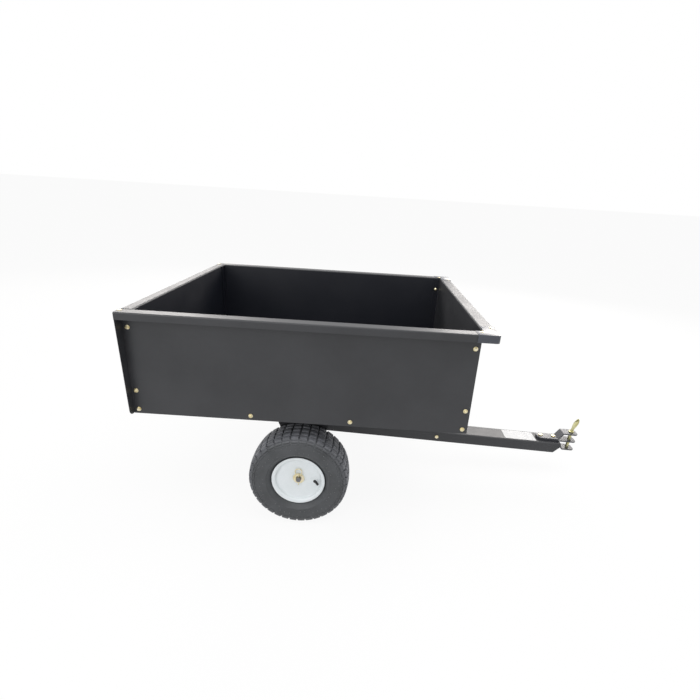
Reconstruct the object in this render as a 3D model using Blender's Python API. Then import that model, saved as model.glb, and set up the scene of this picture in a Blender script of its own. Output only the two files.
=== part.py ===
# Tow behind dump cart. A pressed steel bed with a lift out tailgate tips on the axle of a
# two wheeled chassis, whose channel tongue ends in a pinned three plate hitch.
# Metres. +X runs forward to the hitch, +Y to the left and +Z up; the ground is at Z = 0.
import math

import bmesh
import bpy
from mathutils import Matrix, Vector

# Bed
bed_length = 1.024
bed_width = 0.850
bed_height = 0.328
sheet = 0.0015
bend_radius = 0.003
top_flange = 0.039
flange_lip = 0.022
tray_flange = 0.030
edge_return = 0.026
foot_flange = 0.028
foot_radius = 0.018
panel_seam = 0.001
return_drop = 0.004
flange_lap = 0.030
skirt_lap = 0.020

# Tailgate and its two tracks
gate_depth = 0.0325
gate_side_gap = 0.0075
gate_lift_gap = 0.002
track_front_leg = 0.036
track_rear_leg = 0.022
track_play = 0.001
track_bend = 0.002

# Front corner caps
cap_side_arm = 0.023
cap_front_arm = 0.050
cap_radius = 0.012

# Bolts through the side panels, measured from the bed's edges
bolt_radius = 0.004
bolt_head_radius = 0.0075
bolt_head_height = 0.004
nut_radius = 0.008
nut_height = 0.005
nut_top_share = 0.8
bolt_tail = 0.002
edge_bolt_inset = 0.0145
corner_bolt_inset = 0.0155
middle_bolt_reach = 0.1525
row_bolt_height = 0.015
low_bolt_height = 0.077
high_bolt_height = 0.275

# Axle and wheels
axle_drop = 0.2126
axle_offset = -0.0053
axle_radius = 0.0079
axle_reach = 0.4235
wheel_track = 0.753
tyre_radius = 0.165
tyre_width = 0.127
tyre_wall = 0.008
bead_inset = 0.0085
bead_width = 0.010
rim_flange_radius = 0.087
rim_seat_radius = 0.0762
rim_well_radius = 0.068
rim_half_width = 0.050
rim_wall = 0.0025
rim_seat_width = 0.024
rim_well_run = 0.008
disc_face = 0.037
hub_radius = 0.020
hub_wall = 0.0023
hub_inner_end = -0.0645
hub_outer_end = 0.034
bearing_width = 0.011
bearing_flange = 0.0015
washer_radius = 0.0165
washer_thickness = 0.002
valve_radius = 0.004
valve_distance = 0.054
valve_length = 0.027
valve_root = 0.006
valve_angle = math.radians(-7)
valve_lean = math.radians(35)
cotter_wire = 0.0014
cotter_ring = 0.0115
cotter_tail = 0.022
cotter_neck = 0.0165
cotter_sweep = 320

# Pressed brackets between the bed and the axle
bracket_half_top = 0.112
bracket_foot_radius = 0.026
bracket_plate = 0.003
bracket_depth = 0.028
sloped_wall_share = 1.6

# Tongue, a channel open at the bottom that pitches down towards the hitch
tongue_pitch = math.radians(2.2)
tongue_width = 0.086
tongue_height = 0.041
tongue_wall = 0.003
tongue_reach = 1.013
tongue_tail = 0.030
tongue_bend = 0.005
chamfer_length = 0.025
chamfer_height = 0.0275

# Hitch plates, bolts and pin, placed along the tongue from the axle
strap_start = 0.924
strap_tip = 1.082
strap_width = 0.045
strap_thickness = 0.005
strap_bend = 0.005
strap_end_radius = 0.014
upper_ramp_start = 1.006
lower_ramp_start = 1.014
strap_ramp_run = 0.017
upper_step = 0.0275
lower_step = 0.0275
hitch_bolt_places = (0.940, 0.993)
hitch_bolt_radius = 0.005
hitch_head_radius = 0.0075
hitch_nut_radius = 0.009
hitch_nut_height = 0.008
hitch_head_height = 0.004
hitch_bolt_tail = 0.003
pin_place = 1.0595
pin_radius = 0.00635
pin_collar_radius = 0.010
pin_collar_height = 0.004
pin_overhang = 0.007
pin_chamfer = 0.002
pin_neck_share = 0.8
handle_neck = 0.018
handle_height = 0.062
handle_lean = 0.0175
handle_width = 0.017
handle_thickness = 0.006
handle_tip_half = 0.0025
handle_widest_share = 0.6

# Dump latch: a lever in the tongue that hooks over a striker under the bed
latch_place = 0.5066
latch_thickness = 0.008
latch_bolt_radius = 0.004
latch_boss_radius = 0.012
latch_head_radius = 0.008
latch_head_height = 0.003
latch_nut_radius = 0.0075
latch_nut_height = 0.006
latch_bolt_tail = 0.003
striker_place = (0.484, 0.048)
striker_radius = 0.005
hook_lift = 0.0045
hook_tip_gap = 0.0034
hook_height = 0.014
stem_gap = 0.010
stem_width = 0.018
lever_grip = (0.060, 0.060)
lever_round = 0.004
lever_grip_width = 0.014
slot_swing = 0.0095
slot_play = 0.00075
rest_back = 0.4265
rest_front = 0.508
rest_half_width = 0.0255
rest_plate_half_width = 0.050
rest_plate = 0.003
rest_corner_radius = 0.008
spring_wire = 0.0012
spring_turns = 3
spring_play = 0.0008
spring_coil_gap = 0.0006
spring_legs = (0.018, -0.022)

# Clearances
gap = 0.0003
hole_play = 0.0003

# How far a cutting shape runs past the face it cuts
overrun = 0.010

# Derived places
half_length = bed_length / 2
half_width = bed_width / 2
inner_face = half_width - sheet - gap
half_tongue = tongue_height / 2
web_under = half_tongue - tongue_wall
middle_low = half_tongue + gap
upper_low = middle_low + strap_thickness + gap
upper_plate_top = upper_low + strap_thickness + upper_step
lower_top = web_under - gap
lower_plate_low = lower_top - strap_thickness - lower_step
front_reach = strap_tip * math.cos(tongue_pitch) + upper_plate_top * math.sin(tongue_pitch)
axle_x = (half_length + axle_offset - front_reach) / 2
axle_centre = Vector((axle_x, 0, tyre_radius))
bed_origin = Vector((-axle_offset, 0, axle_drop))
wheel_centre = wheel_track / 2
gate_front = -half_length + gate_depth
bracket_outer = wheel_centre + hub_inner_end - bearing_flange - washer_thickness - 3 * gap
tyre_section = tyre_radius - rim_seat_radius
stem_back = striker_place[0] - latch_place + striker_radius + stem_gap
stem_front = stem_back + stem_width
latch_slot = (latch_place + stem_back - slot_swing, latch_place + stem_front + slot_swing)

round_steps = 32
pivot_steps = 16
bolt_steps = 8
spring_steps = 10

dark_steel = ((0.055, 0.056, 0.060), 0.0, 0.55)
zinc = ((0.62, 0.55, 0.36), 1.0, 0.38)
bright_steel = ((0.60, 0.60, 0.62), 1.0, 0.35)
white_paint = ((0.80, 0.84, 0.86), 0.0, 0.35)
rubber = ((0.045, 0.047, 0.050), 0.0, 0.85)


def clear_scene():
    for item in list(bpy.data.objects):
        bpy.data.objects.remove(item, do_unlink=True)


def make_material(name, finish):
    colour, metallic, roughness = finish
    material = bpy.data.materials.new(name + "_finish")
    material.use_nodes = True
    shader = material.node_tree.nodes["Principled BSDF"]
    shader.inputs["Base Color"].default_value = (*colour, 1)
    shader.inputs["Metallic"].default_value = metallic
    shader.inputs["Roughness"].default_value = roughness
    return material


def link_object(name, data, parent, location):
    item = bpy.data.objects.new(name, data)
    bpy.context.scene.collection.objects.link(item)
    item.parent = parent
    item.location = location
    return item


def add_empty(name, location, parent=None, pitch=0.0):
    empty = link_object(name, None, parent, location)
    empty.rotation_euler = (0, pitch, 0)
    return empty


def mesh_data(name, shape):
    data = bpy.data.meshes.new(name)
    shape.to_mesh(data)
    shape.free()
    return data


def add_part(name, shape, finish, parent, location=(0, 0, 0)):
    data = mesh_data(name, shape)
    data.materials.append(make_material(name, finish))
    data.shade_smooth()
    data.set_sharp_from_angle(angle=math.radians(35))
    return link_object(name, data, parent, location)


def combine(part, shape, operation):
    # The second shape stays beside the part as a hidden wire guide.
    guide_name = part.name + "_guide"
    guide = link_object(guide_name, mesh_data(guide_name, shape), part.parent, part.location)
    guide.hide_render = True
    guide.display_type = "WIRE"
    step = part.modifiers.new(operation.title(), "BOOLEAN")
    step.operation = operation
    step.solver = "EXACT"
    step.object = guide


def cut(part, shape):
    combine(part, shape, "DIFFERENCE")


def join(part, shape):
    combine(part, shape, "UNION")


def place_corner(axis, a, b, along):
    # An outline's two coordinates are the remaining axes in their usual order.
    if axis == "X":
        return Vector((along, a, b))
    if axis == "Y":
        return Vector((a, along, b))
    return Vector((a, b, along))


def extruded(outline, axis, low, high, shape=None):
    shape = shape or bmesh.new()
    corners = [shape.verts.new(place_corner(axis, a, b, low)) for a, b in outline]
    base = shape.faces.new(corners)
    swept = bmesh.ops.extrude_face_region(shape, geom=[base])["geom"]
    moved = [item for item in swept if isinstance(item, bmesh.types.BMVert)]
    bmesh.ops.translate(shape, verts=moved, vec=place_corner(axis, 0, 0, high - low))
    bmesh.ops.recalc_face_normals(shape, faces=shape.faces)
    return shape


def rectangle(a_low, a_high, b_low, b_high):
    return [(a_low, b_low), (a_high, b_low), (a_high, b_high), (a_low, b_high)]


def box(x_range, y_range, z_range, shape=None):
    return extruded(rectangle(*x_range, *y_range), "Z", *z_range, shape)


def arc(centre, radius, start, stop, steps):
    # Points along an arc between two angles in degrees.
    angles = [math.radians(start + (stop - start) * step / steps) for step in range(steps + 1)]
    return [(centre[0] + radius * math.cos(a), centre[1] + radius * math.sin(a)) for a in angles]


def disc_outline(centre, radius, steps=bolt_steps):
    return arc(centre, radius, 0, 360, steps)[:-1]


def rod(axis, centre, radius, low, high, shape=None, steps=bolt_steps):
    return extruded(disc_outline(centre, radius, steps), axis, low, high, shape)


def rounded_rectangle(a_low, a_high, b_low, b_high, radius, steps=3):
    a_in, a_out = a_low + radius, a_high - radius
    b_in, b_out = b_low + radius, b_high - radius
    outline = arc((a_in, b_in), radius, 180, 270, steps) + arc((a_out, b_in), radius, 270, 360, steps)
    return outline + arc((a_out, b_out), radius, 0, 90, steps) + arc((a_in, b_out), radius, 90, 180, steps)


def rounded_path(points, radius, steps=2):
    # Each inner corner of an open path becomes a bend of the given radius.
    points = [Vector(point) for point in points]
    path = [points[0]]
    for before, corner, after in zip(points, points[1:], points[2:]):
        back = (before - corner).normalized()
        ahead = (after - corner).normalized()
        half_angle = back.angle(ahead) / 2
        centre = corner + (back + ahead).normalized() * radius / math.sin(half_angle)
        start = corner + back * radius / math.tan(half_angle) - centre
        stop = corner + ahead * radius / math.tan(half_angle) - centre
        path += [centre + start.lerp(stop, step / steps).normalized() * radius for step in range(steps + 1)]
    return path + [points[-1]]


def bent_sheet(points, thickness, radius):
    # A closed outline of even thickness around a path that runs along its middle.
    path = rounded_path(points, radius)
    left, right = [], []
    for index, point in enumerate(path):
        before = path[max(index, 1)] - path[max(index, 1) - 1]
        ahead = path[min(index + 1, len(path) - 1)] - path[min(index, len(path) - 2)]
        direction = (before.normalized() + ahead.normalized()).normalized()
        stretch = 1 / direction.dot(ahead.normalized())
        offset = Vector((-direction.y, direction.x)) * thickness / 2 * stretch
        left.append(tuple(point + offset))
        right.append(tuple(point - offset))
    return left + right[::-1]


def turned(profile, centre_y=0.0, closed=True, steps=round_steps):
    # A profile of (radius, y) points spun about the Y axis.
    shape = bmesh.new()
    points = [shape.verts.new((radius, centre_y + y, 0)) for radius, y in profile]
    pairs = list(zip(points, points[1:])) + ([(points[-1], points[0])] if closed else [])
    edges = [shape.edges.new(pair) for pair in pairs]
    bmesh.ops.spin(shape, geom=points + edges, cent=(0, 0, 0), axis=(0, 1, 0), angle=math.tau,
                   steps=steps, use_merge=True)
    bmesh.ops.remove_doubles(shape, verts=shape.verts, dist=0.000001)
    bmesh.ops.recalc_face_normals(shape, faces=shape.faces)
    return shape


def mirrored(shape, side):
    # Shapes are drawn for the left side; side -1 reflects one to the right.
    if side < 0:
        bmesh.ops.scale(shape, vec=(1, -1, 1), verts=shape.verts)
        bmesh.ops.reverse_faces(shape, faces=shape.faces)
    return shape


def upright(shape):
    # Stands a shape turned about Y on the Z axis.
    bmesh.ops.rotate(shape, verts=shape.verts, matrix=Matrix.Rotation(math.pi / 2, 3, "X"))
    return shape


def tongue_line(x, level):
    # Height in the bed's frame of a line at this level of the pitched tongue.
    return -axle_drop + level / math.cos(tongue_pitch) - (x - axle_offset) * math.tan(tongue_pitch)


def tongue_point(along, level):
    # A point of the pitched tongue in the bed's frame.
    x = axle_offset + along * math.cos(tongue_pitch) + level * math.sin(tongue_pitch)
    return x, -axle_drop + level * math.cos(tongue_pitch) - along * math.sin(tongue_pitch)


def side_bolt_places():
    edge = half_length - edge_bolt_inset
    corner = half_length - corner_bolt_inset
    posts = [(x, z) for x in (-edge, edge) for z in (low_bolt_height, high_bolt_height)]
    row = (-corner, -middle_bolt_reach, middle_bolt_reach, corner)
    return posts + [(x, row_bolt_height) for x in row]


def bolt_holes(y_low, y_high, keep=lambda x, z: True):
    holes = bmesh.new()
    for place in side_bolt_places():
        if keep(*place):
            rod("Y", place, bolt_radius + hole_play, y_low, y_high, holes)
    return holes


def build_floor_tray(bed):
    side = inner_face - sheet / 2
    section = [(-side, tray_flange), (-side, sheet / 2), (side, sheet / 2), (side, tray_flange)]
    front = half_length - sheet - gap
    shape = extruded(bent_sheet(section, sheet, bend_radius), "X", -half_length, front)
    tray = add_part("floor_tray", shape, dark_steel, bed, bed_origin)
    front_width = side - bend_radius
    join(tray, box((front - sheet, front), (-front_width, front_width), (sheet / 2, tray_flange)))
    for side_sign in (-1, 1):
        low, high = sorted((side_sign * (side - overrun), side_sign * half_width))
        cut(tray, bolt_holes(low, high, lambda x, z: z < tray_flange))


def build_side_panel(bed, name, side):
    web = half_width - sheet / 2
    rim = half_width + top_flange - sheet / 2
    top = bed_height - sheet / 2
    section = [(web, 0), (web, top), (rim, top), (rim, bed_height - flange_lip)]
    shape = extruded(bent_sheet(section, sheet, bend_radius), "X", -half_length, half_length)
    panel = add_part(name, mirrored(shape, side), dark_steel, bed, bed_origin)
    foot_edge = half_width + foot_flange
    rear_flange = [(half_width - sheet, bend_radius), (foot_edge - foot_radius, bend_radius)]
    rear_flange += arc((foot_edge - foot_radius, bend_radius + foot_radius), foot_radius, -90, 0, 5)
    rear_flange += [(rim, bed_height - flange_lip), (rim, top - bend_radius), (half_width - sheet, top)]
    join(panel, mirrored(extruded(rear_flange, "X", -half_length, -half_length + sheet), side))
    cut(panel, mirrored(bolt_holes(half_width - overrun, half_width + overrun), side))


def build_front_panel(bed):
    side = inner_face - sheet / 2
    face = half_length - sheet / 2
    back = half_length - edge_return
    edge_low = tray_flange + panel_seam
    top = bed_height - sheet / 2
    plan = [(back, -side), (face, -side), (face, side), (back, side)]
    web = extruded(bent_sheet(plan, sheet, bend_radius), "Z", edge_low, top - return_drop)
    panel = add_part("front_panel", web, dark_steel, bed, bed_origin)
    flat = side - bend_radius
    join(panel, box((half_length - sheet, half_length), (-flat, flat), (0, edge_low + skirt_lap)))
    rim = half_length + top_flange - sheet / 2
    section = [(face, top - flange_lap), (face, top), (rim, top), (rim, bed_height - flange_lip)]
    join(panel, extruded(bent_sheet(section, sheet, bend_radius), "Y", -flat, flat))
    for side_sign in (-1, 1):
        low, high = sorted((side_sign * (side - overrun), side_sign * half_width))
        cut(panel, bolt_holes(low, high, lambda x, z: x > 0 and z > tray_flange))


def build_tailgate(bed):
    pivot = Vector((gate_front, 0, sheet))
    gate = add_empty("tailgate_slide", bed_origin + pivot, bed)
    half_gate = half_width - sheet - gate_side_gap - sheet / 2
    low = gate_lift_gap
    top = bed_height - sheet - sheet / 2
    rear = -gate_depth + 2 * sheet + 2 * track_play
    face = -sheet / 2
    plan = [(rear, -half_gate), (face, -half_gate), (face, half_gate), (rear, half_gate)]
    web = extruded(bent_sheet(plan, sheet, bend_radius), "Z", low, top - return_drop)
    tailgate = add_part("tailgate", web, dark_steel, gate)
    flat = half_gate - bend_radius
    join(tailgate, box((rear, face), (-flat, flat), (low, low + sheet)))
    rim = -gate_depth + sheet / 2
    section = [(face, top - flange_lap), (face, top), (rim, top), (rim, top - flange_lip)]
    cover = half_width - sheet - gate_lift_gap
    join(tailgate, extruded(bent_sheet(section, sheet, bend_radius), "Y", -cover, cover))


def build_track(bed, name, side):
    base = inner_face - sheet / 2
    front = gate_front + track_play + sheet / 2
    rear = -half_length + sheet + track_play + sheet / 2
    plan = [(rear, inner_face - track_rear_leg), (rear, base)]
    plan += [(front, base), (front, inner_face - track_front_leg)]
    high = bed_height - sheet - panel_seam
    shape = extruded(bent_sheet(plan, sheet, track_bend), "Z", tray_flange + panel_seam, high)
    track = add_part(name, mirrored(shape, side), dark_steel, bed, bed_origin)
    holes = bolt_holes(inner_face - overrun, half_width, lambda x, z: x < 0 and z > tray_flange)
    cut(track, mirrored(holes, side))


def build_corner_cap(bed, name, side):
    reach = top_flange + gap + sheet
    outer_x, outer_y = half_length + reach, half_width + reach
    corner = (outer_x - cap_radius, outer_y - cap_radius)
    outline = [(half_length - cap_side_arm, outer_y), (half_length - cap_side_arm, half_width)]
    outline += [(half_length, half_width), (half_length, half_width - cap_front_arm)]
    outline += [(outer_x, half_width - cap_front_arm)] + arc(corner, cap_radius, 0, 90, 5)
    skirt_low = bed_height - flange_lip
    shape = extruded(outline, "Z", skirt_low, bed_height + gap + sheet)
    cap = add_part(name, mirrored(shape, side), dark_steel, bed, bed_origin)
    back_x, back_y = half_length - 2 * cap_side_arm, half_width - 2 * cap_front_arm
    pocket = [(back_x, outer_y - sheet), (back_x, back_y), (outer_x - sheet, back_y)]
    pocket += arc(corner, cap_radius - sheet, 0, 90, 5)
    cut(cap, mirrored(extruded(pocket, "Z", skirt_low - overrun, bed_height + gap), side))


def bracket_outline(half_top, top, foot):
    return [(-half_top, top), (half_top, top)] + arc((0, 0), foot, 0, -180, 10)


def build_axle_bracket(bed, name, side):
    top = axle_drop - gap
    outline = bracket_outline(bracket_half_top, top, bracket_foot_radius)
    inner = bracket_outer - bracket_depth
    shape = extruded(outline, "Y", inner, bracket_outer)
    bracket = add_part(name, mirrored(shape, side), dark_steel, bed)
    pocket_top = bracket_half_top - sloped_wall_share * bracket_plate
    pocket = bracket_outline(pocket_top, top - bracket_plate, bracket_foot_radius - bracket_plate)
    cut(bracket, mirrored(extruded(pocket, "Y", inner - overrun, bracket_outer - bracket_plate), side))
    low, high = bracket_outer - overrun, bracket_outer + overrun
    hole = rod("Y", (0, 0), axle_radius + hole_play, low, high, steps=pivot_steps)
    cut(bracket, mirrored(hole, side))


def build_bed_rest(bed):
    middle = rest_back + rest_plate / 2
    plan = [(rest_front, -rest_half_width), (middle, -rest_half_width)]
    plan += [(middle, rest_half_width), (rest_front, rest_half_width)]
    low = -axle_drop
    shape = extruded(bent_sheet(plan, rest_plate, rest_plate), "Z", low, -gap - rest_plate / 2)
    for corner in [vert for vert in shape.verts if vert.co.z < low + gap]:
        corner.co.z = tongue_line(corner.co.x, half_tongue) + gap
    rest = add_part("bed_rest_bracket", shape, dark_steel, bed, bed_origin)
    side = rest_plate_half_width
    plate = rounded_rectangle(rest_back, rest_front, -side, side, rest_corner_radius)
    join(rest, extruded(plate, "Z", -gap - rest_plate, -gap))
    reach = rest_half_width + rest_plate
    place = tongue_point(*striker_place)
    cut(rest, rod("Y", place, striker_radius + hole_play, -reach - overrun, reach + overrun))
    add_part("striker_pin", rod("Y", place, striker_radius, -reach, reach), zinc, bed, bed_origin)


def bolt_profile(radius, head_radius, head_height, grip, nut_radius, nut_height, tail):
    # A domed head below y = 0, a shank through the grip and a nut above it.
    dome = [(head_radius * math.sin(a), -gap - head_height * math.cos(a))
            for a in (math.radians(angle) for angle in (0, 45, 90))]
    nut_low = grip + gap
    profile = dome + [(head_radius, -gap), (radius, -gap), (radius, nut_low), (nut_radius, nut_low)]
    nut_top = nut_low + nut_height
    profile += [(nut_radius, nut_low + nut_height / 4), (nut_radius * nut_top_share, nut_top)]
    return profile + [(radius, nut_top), (radius, nut_top + tail), (0, nut_top + tail)]


def build_side_bolts(bed):
    grip = 2 * sheet + gap
    profile = bolt_profile(bolt_radius, bolt_head_radius, bolt_head_height, grip, nut_radius,
                           nut_height, bolt_tail)
    for side, label in ((-1, "right"), (1, "left")):
        for index, (x, z) in enumerate(side_bolt_places(), 1):
            shape = mirrored(turned(profile, half_width - grip, False, bolt_steps), side)
            place = bed_origin + Vector((x, 0, z))
            add_part("side_bolt_%s_%d" % (label, index), shape, zinc, bed, place)


def build_tongue(chassis):
    side = tongue_width / 2 - tongue_wall / 2
    top = half_tongue - tongue_wall / 2
    section = [(-side, -half_tongue), (-side, top), (side, top), (side, -half_tongue)]
    shape = extruded(bent_sheet(section, tongue_wall, tongue_bend), "X", -tongue_tail, tongue_reach)
    tongue = add_part("tongue", shape, dark_steel, chassis)
    past = tongue_width / 2 + overrun
    beyond = tongue_reach + overrun
    below = -half_tongue - overrun
    slope = chamfer_length / chamfer_height
    tip = [(tongue_reach - chamfer_length - overrun * slope, below), (beyond, below)]
    tip += [(beyond, -half_tongue + chamfer_height + overrun / slope)]
    cuts = extruded(tip, "Y", -past, past)
    rod("Y", (0, 0), axle_radius + hole_play, -past, past, cuts, pivot_steps)
    rod("Y", (latch_place, 0), latch_bolt_radius + hole_play, -past, past, cuts, pivot_steps)
    slot = latch_thickness / 2 + slot_play
    low, high = web_under - overrun, half_tongue + overrun
    box(latch_slot, (-slot, slot), (low, high), cuts)
    for place in hitch_bolt_places:
        rod("Z", (place, 0), hitch_bolt_radius + hole_play, low, high, cuts)
    cut(tongue, cuts)


def strap_holes(low, high):
    holes = rod("Z", (pin_place, 0), pin_radius + 2 * hole_play, low, high, steps=pivot_steps)
    for place in hitch_bolt_places:
        rod("Z", (place, 0), hitch_bolt_radius + hole_play, low, high, holes)
    return holes


def build_strap(chassis, name, level, step, ramp_start=0.0):
    half = strap_width / 2
    middle = level + strap_thickness / 2
    path = [(strap_start, middle), (strap_tip, middle)]
    if step:
        path = [(strap_start, middle), (ramp_start, middle)]
        path += [(ramp_start + strap_ramp_run, middle + step), (strap_tip, middle + step)]
    side_view = bent_sheet(path, strap_thickness, strap_bend)
    strap = add_part(name, extruded(side_view, "Y", -half, half), dark_steel, chassis)
    low = level - abs(step) - overrun
    high = level + abs(step) + strap_thickness + overrun
    plan = rounded_rectangle(strap_start, strap_tip, -half, half, strap_end_radius)
    combine(strap, extruded(plan, "Z", low, high), "INTERSECT")
    cut(strap, strap_holes(low, high))


def build_hitch(chassis):
    build_strap(chassis, "hitch_strap_upper", upper_low, upper_step, upper_ramp_start)
    build_strap(chassis, "hitch_strap_middle", middle_low, 0)
    lower_level = lower_top - strap_thickness
    build_strap(chassis, "hitch_strap_lower", lower_level, -lower_step, lower_ramp_start)
    grip = upper_low + strap_thickness - lower_top + strap_thickness
    profile = bolt_profile(hitch_bolt_radius, hitch_head_radius, hitch_head_height, grip,
                           hitch_nut_radius, hitch_nut_height, hitch_bolt_tail)
    for place, label in zip(hitch_bolt_places, ("rear", "front")):
        shape = turned([(radius, -y) for radius, y in profile], 0, False, bolt_steps)
        seat = (place, 0, upper_low + strap_thickness)
        add_part("hitch_bolt_" + label, upright(shape), zinc, chassis, seat)


def build_hitch_pin(chassis):
    slide = add_empty("hitch_pin_slide", (pin_place, 0, upper_plate_top), chassis)
    foot = lower_plate_low - pin_overhang - upper_plate_top
    collar_top = gap + pin_collar_height
    profile = [(0, foot), (pin_radius - pin_chamfer, foot), (pin_radius, foot + pin_chamfer)]
    profile += [(pin_radius, gap), (pin_collar_radius, gap)]
    profile += [(pin_collar_radius, collar_top), (0, collar_top)]
    pin = add_part("hitch_pin", upright(turned(profile, 0, False, pivot_steps)), zinc, slide)
    widest = handle_neck + handle_widest_share * (handle_height - handle_neck)
    half = handle_width / 2
    neck = pin_radius * pin_neck_share
    middle = handle_lean / 2
    blade = [(-neck, collar_top / 2), (neck, collar_top / 2), (neck, handle_neck)]
    blade += [(middle + half, widest), (handle_lean + handle_tip_half, handle_height)]
    blade += [(handle_lean - handle_tip_half, handle_height), (middle - half, widest)]
    blade += [(-neck, handle_neck)]
    join(pin, extruded(blade, "Y", -handle_thickness / 2, handle_thickness / 2))


def turned_ring(inner, outer, low, high, centre_y, steps=pivot_steps):
    return turned([(outer, low), (outer, high), (inner, high), (inner, low)], centre_y, steps=steps)


def build_axle(chassis, level):
    shape = rod("Y", (0, 0), axle_radius, -axle_reach, axle_reach, steps=pivot_steps)
    axle = add_part("axle", shape, bright_steel, level)
    cotter_place = washer_outer_face() + 2 * gap + cotter_wire
    reach = axle_radius + overrun
    holes = bmesh.new()
    for side in (-1, 1):
        rod("Z", (0, side * cotter_place), cotter_wire + hole_play, -reach, reach, holes)
    cut(axle, holes)
    inner_low = bracket_outer + gap
    outer_low = washer_outer_face() - washer_thickness
    for side, label in ((-1, "right"), (1, "left")):
        for low, word in ((inner_low, "inner"), (outer_low, "outer")):
            ring = turned_ring(axle_radius + hole_play, washer_radius, low, low + washer_thickness, 0)
            add_part("washer_%s_%s" % (word, label), mirrored(ring, side), zinc, level)
        add_ring_cotter("ring_cotter_" + label, level, side * cotter_place)


def washer_outer_face():
    return wheel_centre + hub_outer_end + bearing_flange + 2 * gap + washer_thickness


def add_wire(name, points, radius, finish, parent, location):
    curve = bpy.data.curves.new(name, "CURVE")
    curve.dimensions = "3D"
    spline = curve.splines.new("POLY")
    spline.points.add(len(points) - 1)
    for slot, point in zip(spline.points, points):
        slot.co = (*point, 1)
    curve.bevel_depth = radius
    curve.bevel_resolution = 1
    curve.use_fill_caps = True
    curve.materials.append(make_material(name, finish))
    return link_object(name, curve, parent, location)


def add_ring_cotter(name, parent, y):
    # A straight leg through the axle, then a ring that stands above it.
    ring_centre = cotter_neck + cotter_ring
    points = [(0, 0, -cotter_tail), (0, 0, 0)]
    points += [(cotter_ring * math.cos(a), 0, ring_centre + cotter_ring * math.sin(a))
               for a in (math.radians(cotter_sweep * step / 16 - 90) for step in range(17))]
    add_wire(name, points, cotter_wire, zinc, parent, (0, y, 0))


def tyre_outline():
    # Outer skin from bead to bead, then the inner skin back; a rounded square section.
    def skin(half, height, steps):
        angles = [math.radians(-55 + 290 * step / steps) for step in range(steps + 1)]
        middle = tyre_radius - tyre_section / 2
        points = []
        for angle in angles:
            cosine, sine = math.cos(angle), math.sin(angle)
            y = half * math.copysign(abs(cosine) ** 0.75, cosine)
            points.append((middle + height * math.copysign(abs(sine) ** 0.9, sine), y))
        return points
    outer = skin(tyre_width / 2, tyre_section / 2, 14)
    inner = skin(tyre_width / 2 - tyre_wall, tyre_section / 2 - tyre_wall, 6)
    seat = rim_seat_radius + gap
    bead = rim_half_width - bead_inset
    foot = bead - bead_width
    return outer + [(seat, -bead), (seat, -foot)] + inner[::-1] + [(seat, foot), (seat, bead)]


def rim_outline():
    # Flange, bead seat and drop well on the tyre's side, then back along the inside by the disc.
    lip, seat, well = rim_flange_radius, rim_seat_radius, rim_well_radius
    half, wall = rim_half_width, rim_wall
    slope = half - rim_seat_width
    outer = [(lip, half), (lip, half - wall), (seat + 0.003, half - wall - 0.0015), (seat, half - 0.007)]
    outer += [(seat, slope), (well, slope - rim_well_run)]
    inner = [(lip, -half), (seat + 0.001, -half + 0.0015), (seat - wall, -half + 0.0055)]
    inner += [(seat - wall, -slope - 0.001), (well - wall, -slope + 0.0065), (well - wall, slope - 0.0065)]
    inner += [(seat - wall, slope + 0.001)]
    face = disc_face
    hole = hub_radius + gap
    disc = [(seat - wall - 0.003, face - 0.007), (seat - 0.021, face - wall), (hole, face - wall - 0.004)]
    disc += [(hole, face - 0.004), (seat - 0.021, face), (seat - wall - 0.003, face - 0.004)]
    disc += [(seat - wall, face - 0.003), (seat - wall, half - 0.0055), (seat + 0.001, half - 0.0015)]
    mirrored_outer = [(radius, -y) for radius, y in reversed(outer[1:])]
    return outer + mirrored_outer + inner + disc


def valve_shape(radius, low, high, steps=bolt_steps):
    # A round bar through the disc that leans out towards the rim.
    shape = rod("Y", (0, 0), radius, low, high, steps=steps)
    for corner in shape.verts:
        corner.co.x += corner.co.y * math.tan(valve_lean)
    bmesh.ops.translate(shape, verts=shape.verts, vec=(valve_distance, disc_face - 0.002, 0))
    turn = Vector((math.cos(valve_angle), 0, math.sin(valve_angle)))
    turning = Vector((1, 0, 0)).rotation_difference(turn).to_matrix()
    bmesh.ops.rotate(shape, verts=shape.verts, matrix=turning)
    return shape


def build_wheel(level, side, label):
    wheel = add_empty("wheel_%s_spin" % label, (0, side * wheel_centre, 0), level)
    add_part("tyre_" + label, mirrored(turned(tyre_outline()), side), rubber, wheel)
    rim = add_part("rim_" + label, mirrored(turned(rim_outline()), side), white_paint, wheel)
    cut(rim, mirrored(valve_shape(valve_radius + 2 * gap, -overrun, overrun), side))
    hub_bore = hub_radius - hub_wall
    hub = turned_ring(hub_bore, hub_radius, hub_inner_end, hub_outer_end, 0)
    add_part("hub_" + label, mirrored(hub, side), white_paint, wheel)
    for end, out, word in ((hub_outer_end, 1, "outer"), (hub_inner_end, -1, "inner")):
        bore = axle_radius + hole_play
        seat = hub_bore - gap
        lip = hub_radius - 0.001
        near, far = end + out * gap, end + out * (gap + bearing_flange)
        profile = [(bore, end - out * bearing_width), (seat, end - out * bearing_width), (seat, near)]
        profile += [(lip, near), (lip, far), (bore, far)]
        ring = mirrored(turned(profile, steps=pivot_steps), side)
        add_part("bearing_%s_%s" % (word, label), ring, zinc, wheel)
    valve = mirrored(valve_shape(valve_radius, -valve_root, valve_length - valve_root), side)
    add_part("valve_stem_" + label, valve, rubber, wheel)


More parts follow.
